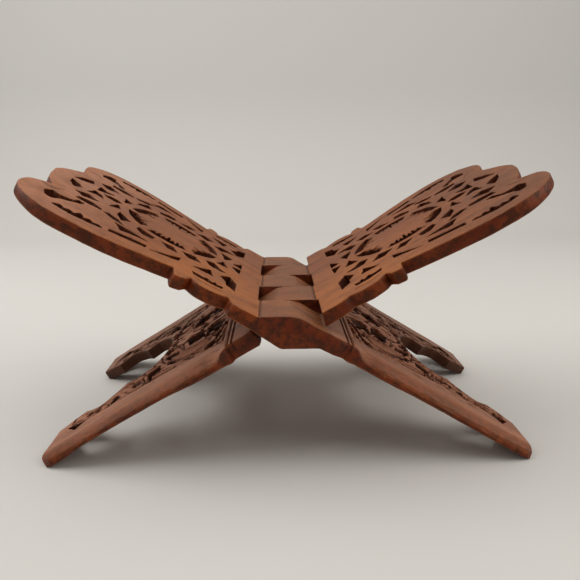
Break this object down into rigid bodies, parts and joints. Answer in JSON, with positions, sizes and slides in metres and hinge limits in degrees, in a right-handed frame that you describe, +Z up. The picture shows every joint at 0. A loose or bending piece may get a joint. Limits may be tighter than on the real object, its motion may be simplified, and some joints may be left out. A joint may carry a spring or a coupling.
{
  "type": "folding book stand",
  "caption": "Folding carved wooden book stand (rehal): two pierced leaves interlocked at integral knuckles, opening into a low X that cradles a book.",
  "frame": {"origin": "on the table, midway between the four feet, straight below the middle of the hinge line", "axes": "+Z up, X across the open X shape from leaf A's reading panel at -X to leaf B's at +X, Y along the hinge line with +Y away from the viewer"},
  "size_m": [0.3384, 0.2, 0.1825],
  "materials": {
    "leaf_a_wood": "satin wax over red-brown stain, sawn and chiselled faces",
    "leaf_b_wood": "satin wax over red-brown stain, sawn and chiselled faces"
  },
  "bodies": {
    "leaf_a": {"leaf_a": "leaf_a_wood"},
    "leaf_b": {"leaf_b": "leaf_b_wood"}
  },
  "joints": [
    {"name": "fold", "type": "hinge", "parent": "leaf_a", "child": "leaf_b", "pos_m": [0, 0, 0.08752], "axis": [0, -1, 0], "range_deg": [0, 119.6]}
  ]
}
